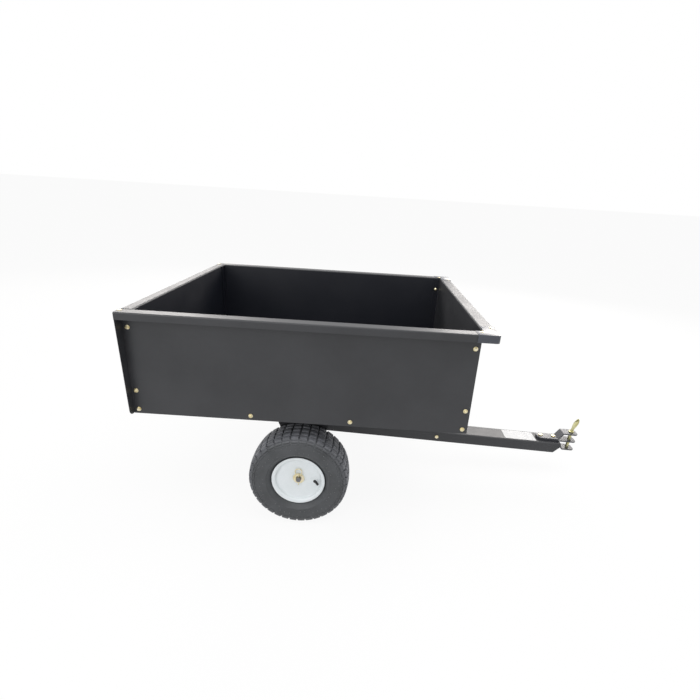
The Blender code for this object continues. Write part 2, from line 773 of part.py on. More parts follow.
def lever_outline():
    # Drawn from its pivot with the hook held just clear of the striker.
    pin_u, pin_w = striker_place[0] - latch_place, striker_place[1]
    hook_low = pin_w + striker_radius + hook_lift
    nose = pin_u + striker_radius + hook_tip_gap
    outline = arc((0, 0), latch_boss_radius, -180, 0, 8)
    hook_top = hook_low + hook_height
    outline += [(stem_front, half_tongue), (stem_front, hook_low + lever_round)]
    grip_u, grip_w = stem_front + lever_grip[0], hook_low + lever_grip[1]
    outline += [(grip_u + lever_round, grip_w)]
    outline += [(grip_u + lever_round - lever_grip_width, grip_w + lever_grip_width)]
    outline += [(stem_back + lever_round, hook_top), (nose + lever_round, hook_top)]
    outline += [(nose, hook_low + lever_round), (nose, hook_low), (stem_back, hook_low)]
    return outline + [(stem_back, half_tongue)]


def build_latch(chassis):
    pivot = add_empty("latch_pivot", (latch_place, 0, 0), chassis)
    half = latch_thickness / 2
    lever = add_part("latch_lever", extruded(lever_outline(), "Y", -half, half), dark_steel, pivot)
    reach = half + overrun
    cut(lever, rod("Y", (0, 0), latch_bolt_radius + hole_play, -reach, reach, steps=pivot_steps))
    profile = bolt_profile(latch_bolt_radius, latch_head_radius, latch_head_height, tongue_width,
                           latch_nut_radius, latch_nut_height, latch_bolt_tail)
    bolt = turned(profile, -tongue_width / 2, False, pivot_steps)
    add_part("latch_pivot_bolt", bolt, zinc, chassis, (latch_place, 0, 0))
    coil = latch_bolt_radius + spring_wire + spring_play
    pitch = 2 * spring_wire + spring_coil_gap
    start = half + spring_wire + 2 * gap
    points = [(spring_legs[0], start, coil)]
    for step in range(spring_steps * spring_turns + 1):
        angle = math.pi / 2 - math.tau * step / spring_steps
        along = start + pitch * step / spring_steps
        points.append((coil * math.cos(angle), along, coil * math.sin(angle)))
    points.append((spring_legs[1], points[-1][1], coil))
    add_wire("latch_spring", points, spring_wire, zinc, chassis, (latch_place, 0, 0))


def build_bed(bed):
    build_floor_tray(bed)
    build_front_panel(bed)
    build_tailgate(bed)
    for side, label in ((-1, "right"), (1, "left")):
        build_side_panel(bed, "side_panel_" + label, side)
        build_track(bed, "tailgate_track_" + label, side)
        build_corner_cap(bed, "corner_cap_" + label, side)
        build_axle_bracket(bed, "axle_bracket_" + label, side)
    build_bed_rest(bed)
    build_side_bolts(bed)


clear_scene()
axle_level = add_empty("axle_level", axle_centre)
bed_pivot = add_empty("bed_pivot", (0, 0, 0), axle_level)
tongue_frame = add_empty("tongue_frame", (0, 0, 0), axle_level, tongue_pitch)
build_bed(bed_pivot)
build_tongue(tongue_frame)
build_hitch(tongue_frame)
build_hitch_pin(tongue_frame)
build_latch(tongue_frame)
build_axle(tongue_frame, axle_level)
for side_sign, side_label in ((-1, "right"), (1, "left")):
    build_wheel(axle_level, side_sign, side_label)
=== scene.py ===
import math

import bmesh
import bpy
from mathutils import Matrix, Vector


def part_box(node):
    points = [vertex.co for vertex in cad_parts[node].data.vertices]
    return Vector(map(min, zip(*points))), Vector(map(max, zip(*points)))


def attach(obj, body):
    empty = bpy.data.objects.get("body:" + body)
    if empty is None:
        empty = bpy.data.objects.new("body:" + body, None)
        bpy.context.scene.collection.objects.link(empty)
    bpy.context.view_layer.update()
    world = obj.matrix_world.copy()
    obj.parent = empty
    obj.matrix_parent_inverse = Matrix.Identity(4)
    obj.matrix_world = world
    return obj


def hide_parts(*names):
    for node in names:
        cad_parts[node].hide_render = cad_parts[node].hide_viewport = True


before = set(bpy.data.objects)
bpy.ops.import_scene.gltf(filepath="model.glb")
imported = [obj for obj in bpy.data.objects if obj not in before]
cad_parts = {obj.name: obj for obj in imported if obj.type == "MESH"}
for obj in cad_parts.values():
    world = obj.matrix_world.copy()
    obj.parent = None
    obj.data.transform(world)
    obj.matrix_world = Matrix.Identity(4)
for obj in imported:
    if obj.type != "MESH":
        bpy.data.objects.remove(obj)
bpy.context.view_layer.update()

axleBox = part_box("axle")
axleCentre = (axleBox[0] + axleBox[1]) / 2
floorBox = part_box("floor_tray")
bedSideInside = floorBox[1].y + 0.0004
sides = (("right", -1), ("left", 1))


# --- small helpers used by every piece

def clearSelection():
    if bpy.context.object and bpy.context.object.mode != "OBJECT":
        bpy.ops.object.mode_set(mode="OBJECT")
    bpy.ops.object.select_all(action="DESELECT")


def pick(piece):
    clearSelection()
    piece.select_set(True)
    bpy.context.view_layer.objects.active = piece


def named(name):
    piece = bpy.context.object
    piece.name = name
    piece.data.name = name
    return piece


def settle(piece):  # puts the piece's place into its mesh
    pick(piece)
    bpy.ops.object.transform_apply(location=True, rotation=True, scale=True)


def pickFaces(piece, test):
    mesh = bmesh.from_edit_mesh(piece.data)
    bpy.ops.mesh.select_mode(type="FACE")
    bpy.ops.mesh.select_all(action="DESELECT")
    mesh.faces.ensure_lookup_table()
    for face in mesh.faces:
        face.select_set(test(face))
    bmesh.update_edit_mesh(piece.data)


def closeSeams(piece):
    pick(piece)
    bpy.ops.object.mode_set(mode="EDIT")
    bpy.ops.mesh.select_all(action="SELECT")
    bpy.ops.mesh.remove_doubles(threshold=0.000005)
    bpy.ops.mesh.normals_make_consistent(inside=False)
    bpy.ops.object.mode_set(mode="OBJECT")


def roundEdges(piece, width, segments=2, angle=35):
    pick(piece)
    bevel = piece.modifiers.new("edges", "BEVEL")
    bevel.width = width
    bevel.segments = segments
    bevel.limit_method = "ANGLE"
    bevel.angle_limit = math.radians(angle)
    bpy.ops.object.modifier_apply(modifier="edges")


def smooth(piece, angle=35):
    pick(piece)
    bpy.ops.object.shade_smooth_by_angle(angle=math.radians(angle))


def paint(piece, material, body):
    piece.data.materials.clear()
    piece.data.materials.append(material)
    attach(piece, body)


def placedCopy(master, name, matrix):
    pick(master)
    bpy.ops.object.duplicate(linked=False)
    piece = named(name)
    piece.matrix_world = matrix
    settle(piece)
    return piece


def joinPieces(pieces, name):
    clearSelection()
    for piece in pieces:
        piece.select_set(True)
    bpy.context.view_layer.objects.active = pieces[0]
    bpy.ops.object.join()
    return named(name)


def turnRings(name, rings, steps, finish="fill"):
    # Rings of (radius, level) are drawn up one from the last, along Z.
    clearSelection()
    radius, level = rings[0]
    bpy.ops.mesh.primitive_circle_add(vertices=steps, radius=radius, location=(0, 0, level))
    piece = named(name)
    settle(piece)
    bpy.ops.object.mode_set(mode="EDIT")
    bpy.ops.mesh.select_mode(type="VERT")
    bpy.ops.mesh.select_all(action="SELECT")
    for nextRadius, nextLevel in rings[1:]:
        bpy.ops.mesh.extrude_region_move(
            TRANSFORM_OT_translate={"value": (0, 0, nextLevel - level)})
        share = nextRadius / radius
        bpy.ops.transform.resize(value=(share, share, 1), center_override=(0, 0, nextLevel))
        radius, level = nextRadius, nextLevel
    bpy.ops.mesh.select_mode(type="EDGE")
    bpy.ops.mesh.select_all(action="DESELECT")
    bpy.ops.mesh.select_non_manifold()
    if finish == "bridge":
        bpy.ops.mesh.bridge_edge_loops()
    else:
        bpy.ops.mesh.fill_holes(sides=0)
    bpy.ops.object.mode_set(mode="OBJECT")
    closeSeams(piece)
    return piece


def wheelPlace(side):  # local Z points outwards along the axle
    return Matrix.Translation(axleCentre) @ Matrix.Rotation(-side * math.pi / 2, 4, "X")


def bendWire(name, points, radius):
    clearSelection()
    curve = bpy.data.curves.new(name, "CURVE")
    curve.dimensions = "3D"
    spline = curve.splines.new("POLY")
    spline.points.add(len(points) - 1)
    for slot, point in zip(spline.points, points):
        slot.co = (*point, 1)
    curve.bevel_depth = radius
    curve.bevel_resolution = 4
    curve.use_fill_caps = True
    wire = bpy.data.objects.new(name, curve)
    bpy.context.collection.objects.link(wire)
    pick(wire)
    bpy.ops.object.convert(target="MESH")
    wire = named(name)
    closeSeams(wire)
    smooth(wire, 50)
    return wire


# --- finishes

def newSockets(group, wanted):
    kinds = {"colour": "NodeSocketColor", "value": "NodeSocketFloat", "vector": "NodeSocketVector"}
    for name, way, kind, value in wanted:
        socket = group.interface.new_socket(name=name, in_out=way, socket_type=kinds[kind])
        if value is not None:
            socket.default_value = value


def addNode(tree, kind, values=None, **settings):
    node = tree.nodes.new(kind)
    for name, value in (values or {}).items():
        node.inputs[name].default_value = value
    for name, value in settings.items():
        setattr(node, name, value)
    return node


def buildGrainGroup():
    # Fine orange peel with slow clouds of tone under it.
    group = bpy.data.node_groups.new("fineGrain", "ShaderNodeTree")
    newSockets(group, (("Dark", "INPUT", "colour", (0.02, 0.02, 0.02, 1)),
                       ("Light", "INPUT", "colour", (0.04, 0.04, 0.04, 1)),
                       ("Grain", "INPUT", "value", 900.0), ("Clouds", "INPUT", "value", 6.0),
                       ("Rough Low", "INPUT", "value", 0.4), ("Rough High", "INPUT", "value", 0.55),
                       ("Depth", "INPUT", "value", 0.0001),
                       ("Color", "OUTPUT", "colour", None), ("Roughness", "OUTPUT", "value", None),
                       ("Normal", "OUTPUT", "vector", None)))
    given = addNode(group, "NodeGroupInput")
    given_out = addNode(group, "NodeGroupOutput")
    place = addNode(group, "ShaderNodeTexCoord")
    grain = addNode(group, "ShaderNodeTexNoise", {"Detail": 3.0, "Roughness": 0.55})
    clouds = addNode(group, "ShaderNodeTexNoise", {"Detail": 4.0, "Roughness": 0.6})
    both = addNode(group, "ShaderNodeMath", {1: 0.45}, operation="MULTIPLY_ADD")
    tone = addNode(group, "ShaderNodeMapRange", {"From Min": 0.45, "From Max": 0.95})
    mix = addNode(group, "ShaderNodeMix", data_type="RGBA")
    rough = addNode(group, "ShaderNodeMapRange", {"From Min": 0.3, "From Max": 0.7})
    bump = addNode(group, "ShaderNodeBump", {"Strength": 0.6})
    links = group.links
    for noise, scale in ((grain, "Grain"), (clouds, "Clouds")):
        links.new(place.outputs["Object"], noise.inputs["Vector"])
        links.new(given.outputs[scale], noise.inputs["Scale"])
    links.new(grain.outputs["Fac"], both.inputs[0])
    links.new(clouds.outputs["Fac"], both.inputs[2])
    links.new(both.outputs[0], tone.inputs["Value"])
    links.new(tone.outputs["Result"], mix.inputs["Factor"])
    links.new(given.outputs["Dark"], mix.inputs["A"])
    links.new(given.outputs["Light"], mix.inputs["B"])
    links.new(clouds.outputs["Fac"], rough.inputs["Value"])
    links.new(given.outputs["Rough Low"], rough.inputs["To Min"])
    links.new(given.outputs["Rough High"], rough.inputs["To Max"])
    links.new(grain.outputs["Fac"], bump.inputs["Height"])
    links.new(given.outputs["Depth"], bump.inputs["Distance"])
    links.new(mix.outputs["Result"], given_out.inputs["Color"])
    links.new(rough.outputs["Result"], given_out.inputs["Roughness"])
    links.new(bump.outputs["Normal"], given_out.inputs["Normal"])
    return group


def buildPlatingGroup():
    # Passivated plating: three close tints that drift over the surface.
    group = bpy.data.node_groups.new("platingFilm", "ShaderNodeTree")
    newSockets(group, (("Base", "INPUT", "colour", (0.7, 0.6, 0.35, 1)),
                       ("Pale", "INPUT", "colour", (0.8, 0.76, 0.6, 1)),
                       ("Tint", "INPUT", "colour", (0.7, 0.5, 0.4, 1)),
                       ("Drift", "INPUT", "value", 90.0), ("Rough Low", "INPUT", "value", 0.25),
                       ("Rough High", "INPUT", "value", 0.45), ("Depth", "INPUT", "value", 0.00003),
                       ("Color", "OUTPUT", "colour", None), ("Roughness", "OUTPUT", "value", None),
                       ("Normal", "OUTPUT", "vector", None)))
    given = addNode(group, "NodeGroupInput")
    made = addNode(group, "NodeGroupOutput")
    place = addNode(group, "ShaderNodeTexCoord")
    drift = addNode(group, "ShaderNodeTexNoise", {"Detail": 2.0})
    specks = addNode(group, "ShaderNodeTexNoise", {"Scale": 1400.0, "Detail": 3.0})
    paleShare = addNode(group, "ShaderNodeMapRange", {"From Min": 0.42, "From Max": 0.60})
    tintShare = addNode(group, "ShaderNodeMapRange", {"From Min": 0.58, "From Max": 0.72, "To Max": 0.5})
    first = addNode(group, "ShaderNodeMix", data_type="RGBA")
    second = addNode(group, "ShaderNodeMix", data_type="RGBA")
    rough = addNode(group, "ShaderNodeMapRange", {"From Min": 0.3, "From Max": 0.7})
    bump = addNode(group, "ShaderNodeBump", {"Strength": 0.5})
    links = group.links
    links.new(place.outputs["Object"], drift.inputs["Vector"])
    links.new(place.outputs["Object"], specks.inputs["Vector"])
    links.new(given.outputs["Drift"], drift.inputs["Scale"])
    links.new(drift.outputs["Fac"], paleShare.inputs["Value"])
    links.new(drift.outputs["Fac"], tintShare.inputs["Value"])
    links.new(paleShare.outputs["Result"], first.inputs["Factor"])
    links.new(given.outputs["Base"], first.inputs["A"])
    links.new(given.outputs["Pale"], first.inputs["B"])
    links.new(tintShare.outputs["Result"], second.inputs["Factor"])
    links.new(first.outputs["Result"], second.inputs["A"])
    links.new(given.outputs["Tint"], second.inputs["B"])
    links.new(specks.outputs["Fac"], rough.inputs["Value"])
    links.new(given.outputs["Rough Low"], rough.inputs["To Min"])
    links.new(given.outputs["Rough High"], rough.inputs["To Max"])
    links.new(specks.outputs["Fac"], bump.inputs["Height"])
    links.new(given.outputs["Depth"], bump.inputs["Distance"])
    links.new(second.outputs["Result"], made.inputs["Color"])
    links.new(rough.outputs["Result"], made.inputs["Roughness"])
    links.new(bump.outputs["Normal"], made.inputs["Normal"])
    return group


def buildBedShadeGroup():
    # Picks out the faces that line the bed. The same powder coat gets a painted shade there, darker and
    # bluer than outside.
    group = bpy.data.node_groups.new("bedPaintedShade", "ShaderNodeTree")
    newSockets(group, (("Inside", "OUTPUT", "value", None),))
    made = addNode(group, "NodeGroupOutput")
    place = addNode(group, "ShaderNodeTexCoord")
    apart = addNode(group, "ShaderNodeSeparateXYZ")
    group.links.new(place.outputs["Object"], apart.inputs["Vector"])
    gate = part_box("tailgate")
    limits = (("X", "GREATER_THAN", gate[1].x - 0.0004), ("X", "LESS_THAN", floorBox[1].x - 0.0004),
              ("Y", "LESS_THAN", bedSideInside), ("Y", "GREATER_THAN", -bedSideInside),
              ("Z", "GREATER_THAN", floorBox[0].z + 0.0010))
    last = None
    for axis, operation, limit in limits:
        test = addNode(group, "ShaderNodeMath", {1: limit}, operation=operation)
        group.links.new(apart.outputs[axis], test.inputs[0])
        if last:
            both = addNode(group, "ShaderNodeMath", operation="MULTIPLY")
            group.links.new(last.outputs[0], both.inputs[0])
            group.links.new(test.outputs[0], both.inputs[1])
            test = both
        last = test
    group.links.new(last.outputs[0], made.inputs["Inside"])
    return group


def makeFinish(name, group, values, shaderValues):
    material = bpy.data.materials.new(name)
    material.use_nodes = True
    tree = material.node_tree
    shader = tree.nodes["Principled BSDF"]
    effect = addNode(tree, "ShaderNodeGroup", node_tree=group)
    for key, value in values.items():
        effect.inputs[key].default_value = value
    for key, value in shaderValues.items():
        shader.inputs[key].default_value = value
    tree.links.new(effect.outputs["Color"], shader.inputs["Base Color"])
    tree.links.new(effect.outputs["Roughness"], shader.inputs["Roughness"])
    tree.links.new(effect.outputs["Normal"], shader.inputs["Normal"])
    return material


grainGroup = buildGrainGroup()
platingGroup = buildPlatingGroup()


def buildTreadHighlightGroup():
    # Painted highlight on the tread: a lighter rubber tone in noisy patches, growing from the shoulder out
    # to the tops of the lugs.
    group = bpy.data.node_groups.new("treadPaintedHighlight", "ShaderNodeTree")
    newSockets(group, (("Start", "INPUT", "value", 0.147), ("Full", "INPUT", "value", 0.1630),
                       ("paintedHighlight", "OUTPUT", "value", None)))
    given = addNode(group, "NodeGroupInput")
    made = addNode(group, "NodeGroupOutput")
    place = addNode(group, "ShaderNodeTexCoord")
    shift = addNode(group, "ShaderNodeVectorMath", operation="SUBTRACT")
    shift.inputs[1].default_value = axleCentre
    flat = addNode(group, "ShaderNodeVectorMath", operation="MULTIPLY")
    flat.inputs[1].default_value = (1, 0, 1)
    reach = addNode(group, "ShaderNodeVectorMath", operation="LENGTH")
    share = addNode(group, "ShaderNodeMapRange")
    patches = addNode(group, "ShaderNodeTexNoise", {"Scale": 55.0, "Detail": 4.0})
    patchShare = addNode(group, "ShaderNodeMapRange", {"From Min": 0.3, "From Max": 0.65, "To Min": 0.45})
    both = addNode(group, "ShaderNodeMath", operation="MULTIPLY")
    links = group.links
    links.new(place.outputs["Object"], shift.inputs[0])
    links.new(shift.outputs["Vector"], flat.inputs[0])
    links.new(flat.outputs["Vector"], reach.inputs[0])
    links.new(reach.outputs["Value"], share.inputs["Value"])
    links.new(given.outputs["Start"], share.inputs["From Min"])
    links.new(given.outputs["Full"], share.inputs["From Max"])
    links.new(place.outputs["Object"], patches.inputs["Vector"])
    links.new(patches.outputs["Fac"], patchShare.inputs["Value"])
    links.new(share.outputs["Result"], both.inputs[0])
    links.new(patchShare.outputs["Result"], both.inputs[1])
    links.new(both.outputs[0], made.inputs["paintedHighlight"])
    return group


def overlay(material, group, outputName, colour):
    # Lays a colour over a finish wherever the group's mask says.
    tree = material.node_tree
    shader = tree.nodes["Principled BSDF"]
    source = shader.inputs["Base Color"].links[0].from_socket
    mask = addNode(tree, "ShaderNodeGroup", node_tree=group)
    mix = addNode(tree, "ShaderNodeMix", data_type="RGBA")
    mix.inputs["B"].default_value = colour
    tree.links.new(mask.outputs[outputName], mix.inputs["Factor"])
    tree.links.new(source, mix.inputs["A"])
    tree.links.new(mix.outputs["Result"], shader.inputs["Base Color"])


powderCoat = makeFinish("charcoalPowderCoat", grainGroup, {
    "Dark": (0.020, 0.021, 0.024, 1), "Light": (0.034, 0.035, 0.039, 1), "Grain": 850.0, "Clouds": 5.0,
    "Rough Low": 0.40, "Rough High": 0.50, "Depth": 0.00012}, {"Specular IOR Level": 0.5})
# Painted shade: the bed's inner faces are painted a darker, bluer tone of the same powder coat.
overlay(powderCoat, buildBedShadeGroup(), "Inside", (0.0035, 0.0045, 0.0090, 1))
hitchPaint = makeFinish("hitchPlatePaint", grainGroup, {
    "Dark": (0.028, 0.030, 0.036, 1), "Light": (0.050, 0.053, 0.062, 1), "Grain": 600.0, "Clouds": 18.0,
    "Rough Low": 0.30, "Rough High": 0.45, "Depth": 0.00010}, {"Specular IOR Level": 0.55})
tyreRubber = makeFinish("tyreRubber", grainGroup, {
    "Dark": (0.036, 0.039, 0.042, 1), "Light": (0.068, 0.072, 0.078, 1), "Grain": 420.0, "Clouds": 22.0,
    "Rough Low": 0.38, "Rough High": 0.58, "Depth": 0.00025}, {"Specular IOR Level": 0.5})
# Painted highlight: the lug tops of the tread are painted a lighter grey in patches.
overlay(tyreRubber, buildTreadHighlightGroup(), "paintedHighlight", (0.185, 0.190, 0.210, 1))
moulded = makeFinish("blackMouldedRubber", grainGroup, {
    "Dark": (0.012, 0.012, 0.013, 1), "Light": (0.026, 0.026, 0.028, 1), "Grain": 700.0, "Clouds": 60.0,
    "Rough Low": 0.45, "Rough High": 0.60, "Depth": 0.00008}, {"Specular IOR Level": 0.4})
whiteEnamel = makeFinish("whiteRimEnamel", grainGroup, {
    "Dark": (0.70, 0.75, 0.77, 1), "Light": (0.78, 0.82, 0.84, 1), "Grain": 260.0, "Clouds": 9.0,
    "Rough Low": 0.26, "Rough High": 0.36, "Depth": 0.00006},
    {"Coat Weight": 0.3, "Coat Roughness": 0.15})
capPaint = makeFinish("cornerCapPaint", grainGroup, {
    "Dark": (0.040, 0.045, 0.058, 1), "Light": (0.058, 0.064, 0.080, 1), "Grain": 700.0, "Clouds": 12.0,
    "Rough Low": 0.30, "Rough High": 0.38, "Depth": 0.00006}, {"Specular IOR Level": 0.5})
# Painted highlight: the vent nubs are painted a pale grey, far lighter than the tyre rubber they stand out
# of.
nubHighlightRubber = makeFinish("ventNubPaintedHighlight", grainGroup, {
    "Dark": (0.16, 0.17, 0.18, 1), "Light": (0.26, 0.27, 0.28, 1), "Grain": 300.0, "Clouds": 40.0,
    "Rough Low": 0.40, "Rough High": 0.55, "Depth": 0.00004}, {})
blankVinyl = makeFinish("blankVinyl", grainGroup, {
    "Dark": (0.41, 0.42, 0.43, 1), "Light": (0.47, 0.48, 0.49, 1), "Grain": 500.0, "Clouds": 30.0,
    "Rough Low": 0.34, "Rough High": 0.44, "Depth": 0.00002}, {})
yellowZinc = makeFinish("yellowZinc", platingGroup, {
    "Base": (0.70, 0.60, 0.34, 1), "Pale": (0.80, 0.75, 0.56, 1), "Tint": (0.70, 0.52, 0.40, 1),
    "Drift": 110.0, "Rough Low": 0.26, "Rough High": 0.42}, {"Metallic": 1.0})
pinZinc = makeFinish("hitchPinZinc", platingGroup, {
    "Base": (0.50, 0.47, 0.23, 1), "Pale": (0.62, 0.60, 0.36, 1), "Tint": (0.46, 0.42, 0.28, 1),
    "Drift": 60.0, "Rough Low": 0.32, "Rough High": 0.50}, {"Metallic": 1.0})
drawnSteel = makeFinish("drawnSteel", platingGroup, {
    "Base": (0.13, 0.13, 0.135, 1), "Pale": (0.20, 0.20, 0.21, 1), "Tint": (0.12, 0.11, 0.10, 1),
    "Drift": 70.0, "Rough Low": 0.30, "Rough High": 0.48}, {"Metallic": 1.0})
print("finishes made")


# --- sheet metal and hitch plates of the frame

paintedNodes = ("floor_tray", "front_panel", "side_panel_right", "side_panel_left", "tailgate",
                "tailgate_track_right", "tailgate_track_left", "axle_bracket_right",
                "axle_bracket_left", "bed_rest_bracket", "tongue", "latch_lever")
plateNodes = ("hitch_strap_upper", "hitch_strap_middle", "hitch_strap_lower")
sheetEdges = {"width": 0.0004, "angle": 50}


def dressNode(name, material, width):
    node = bpy.data.objects[name]
    for slot in node.material_slots:
        slot.material = material
    weld = node.modifiers.new("weld", "WELD")
    weld.merge_threshold = 0.000005
    bevel = node.modifiers.new("edges", "BEVEL")
    bevel.width = width
    bevel.segments = 2
    bevel.limit_method = "ANGLE"
    bevel.angle_limit = math.radians(sheetEdges["angle"])


for nodeName in paintedNodes:
    dressNode(nodeName, powderCoat, sheetEdges["width"])
for nodeName in plateNodes:
    dressNode(nodeName, hitchPaint, 0.0008)
dressNode("striker_pin", yellowZinc, 0.0005)
print("frame painted")


# --- tyres: a hollow carcass with rows of lugs drawn out of its tread

tyre = {"lugs": 36, "stepsPerLug": 6, "lugHeight": 0.0060, "sideLugHeight": 0.0022,
        "rings": ((0.1588, 0.0), (0.1588, 0.0095), (0.1586, 0.0145), (0.1572, 0.0315),
                  (0.1564, 0.0365), (0.1545, 0.0490), (0.1530, 0.0528), (0.1474, 0.0568),
                  (0.1452, 0.0580), (0.1404, 0.0598), (0.1384, 0.0604), (0.1374, 0.0611), (0.1362, 0.0611),
                  (0.1300, 0.0616), (0.1190, 0.0620), (0.1080, 0.0604), (0.1066, 0.0610),
                  (0.1048, 0.0608), (0.1036, 0.0592), (0.0960, 0.0545), (0.0915, 0.0478),
                  (0.0880, 0.0432), (0.0838, 0.0420), (0.0768, 0.0415), (0.0768, 0.0320),
                  (0.0850, 0.0330), (0.0980, 0.0450), (0.1180, 0.0545), (0.1380, 0.0520),
                  (0.1500, 0.0420), (0.1530, 0.0200)),
        "rows": ((0.0, 0.0096, "tall"), (0.0144, 0.0316, "tall"), (0.0364, 0.0491, "tall"),
                 (0.0527, 0.0569, "low"), (0.0579, 0.0599, "low"))}


def lugTest(kind):
    share = math.tau / (tyre["lugs"] * tyre["stepsPerLug"])

    def test(face):
        centre = face.calc_center_median()
        radius = math.hypot(centre.x, centre.y)
        if radius < 0.1395 or radius < 0.1545 and abs(centre.z) < 0.0525:
            return False
        step = math.floor((math.atan2(centre.y, centre.x) % math.tau) / share)
        if step % tyre["stepsPerLug"] == tyre["stepsPerLug"] - 1:
            return False
        return any(low <= abs(centre.z) <= high for low, high, rowKind in tyre["rows"] if rowKind == kind)
    return test


def drawLugs(carcass, kind, height):
    pick(carcass)
    bpy.ops.object.mode_set(mode="EDIT")
    pickFaces(carcass, lugTest(kind))
    bpy.ops.mesh.extrude_region_shrink_fatten(TRANSFORM_OT_shrink_fatten={"value": height})
    bpy.ops.object.mode_set(mode="OBJECT")


def makeTyre():
    half = list(tyre["rings"])
    back = [(radius, -level) for radius, level in reversed(half[1:])]
    steps = tyre["lugs"] * tyre["stepsPerLug"]
    carcass = turnRings("tyreMaster", back + half, steps, "bridge")
    drawLugs(carcass, "tall", tyre["lugHeight"])
    drawLugs(carcass, "low", tyre["sideLugHeight"])
    roundEdges(carcass, 0.0013, 2, 48)
    smooth(carcass, 40)
    return carcass


tyreMaster = makeTyre()
tyreSize = tyreMaster.dimensions
print("tyre drawn", round(tyreSize.x, 4), round(tyreSize.z, 4), len(tyreMaster.data.polygons))

ventNubs = {"count": 54, "radius": 0.0011, "length": 0.0034, "turn": 2.39996}


def makeNubs():
    # Short moulding nubs that stand out of the outer side wall.
    clearSelection()
    bpy.ops.mesh.primitive_cone_add(vertices=6, radius1=ventNubs["radius"],
                                    radius2=ventNubs["radius"] * 0.6, depth=ventNubs["length"])
    nub = named("nubMaster")
    made = []
    for index in range(ventNubs["count"]):
        turn = ventNubs["turn"] * index
        radius, level = ((0.1345, 0.0612), (0.1245, 0.0622), (0.1135, 0.0614))[index % 3]
        place = Matrix.Rotation(turn, 4, "Z") @ Matrix.Translation((radius, 0, level))
        made.append(placedCopy(nub, "nub", place))
    bpy.data.objects.remove(nub)
    return joinPieces(made, "nubsMaster")


nubsMaster = makeNubs()


# --- rims, hubs, bearings and washers, drawn with local Z outwards

rim = {"steps": 96,
       "rings": ((0.0202, 0.0285), (0.0202, 0.0325), (0.0240, 0.0342), (0.0340, 0.0352), (0.0480, 0.0366),
                 (0.0552, 0.0370), (0.0620, 0.0372), (0.0680, 0.0374), (0.0712, 0.0380), (0.0732, 0.0396),
                 (0.0740, 0.0416), (0.0745, 0.0444), (0.0768, 0.0478), (0.0810, 0.0494), (0.0850, 0.0500),
                 (0.0866, 0.0496), (0.0870, 0.0484), (0.0862, 0.0476), (0.0795, 0.0464), (0.0766, 0.0440),
                 (0.0762, 0.0415), (0.0762, 0.0260), (0.0740, 0.0225), (0.0690, 0.0190), (0.0680, 0.0170),
                 (0.0680, -0.0170), (0.0690, -0.0190), (0.0740, -0.0225), (0.0762, -0.0260),
                 (0.0762, -0.0415), (0.0766, -0.0440), (0.0795, -0.0464), (0.0862, -0.0476),
                 (0.0870, -0.0488), (0.0850, -0.0500), (0.0810, -0.0494), (0.0768, -0.0478),
                 (0.0740, -0.0440), (0.0737, -0.0280), (0.0712, -0.0245), (0.0665, -0.0205),
                 (0.0655, -0.0180), (0.0655, 0.0180), (0.0665, 0.0205), (0.0700, 0.0240),
                 (0.0690, 0.0305), (0.0620, 0.0335), (0.0552, 0.0343), (0.0340, 0.0326))}
rimMaster = turnRings("rimMaster", rim["rings"], rim["steps"], "bridge")
smooth(rimMaster, 50)


def makeRing(name, inner, outer, low, high, edge, steps=64):
    rings = ((inner, low), (outer, low), (outer, high), (inner, high))
    ring = turnRings(name, rings, steps, "bridge")
    roundEdges(ring, edge, 2, 40)
    smooth(ring, 40)
    return ring


def boxAlong(nodeName, side):
    # A wheel node's reach along the axle, measured outwards.
    low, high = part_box(nodeName)
    ends = sorted((side * low.y, side * high.y))
    return ends[0], ends[1], (high.x - low.x) / 2


boreRadius = 0.0082
valve = {"profile": ((0.0046, -0.006), (0.0058, 0.0), (0.0058, 0.0018), (0.0042, 0.0034), (0.0038, 0.0120),
                     (0.0040, 0.0128), (0.0040, 0.0185), (0.0034, 0.0205), (0.0016, 0.0210)),
         "reach": 0.054, "face": 0.0355, "turn": math.radians(-7), "lean": math.radians(35)}
valveMaster = turnRings("valveMaster", valve["profile"], 24)
roundEdges(valveMaster, 0.0003, 2, 40)
smooth(valveMaster, 40)


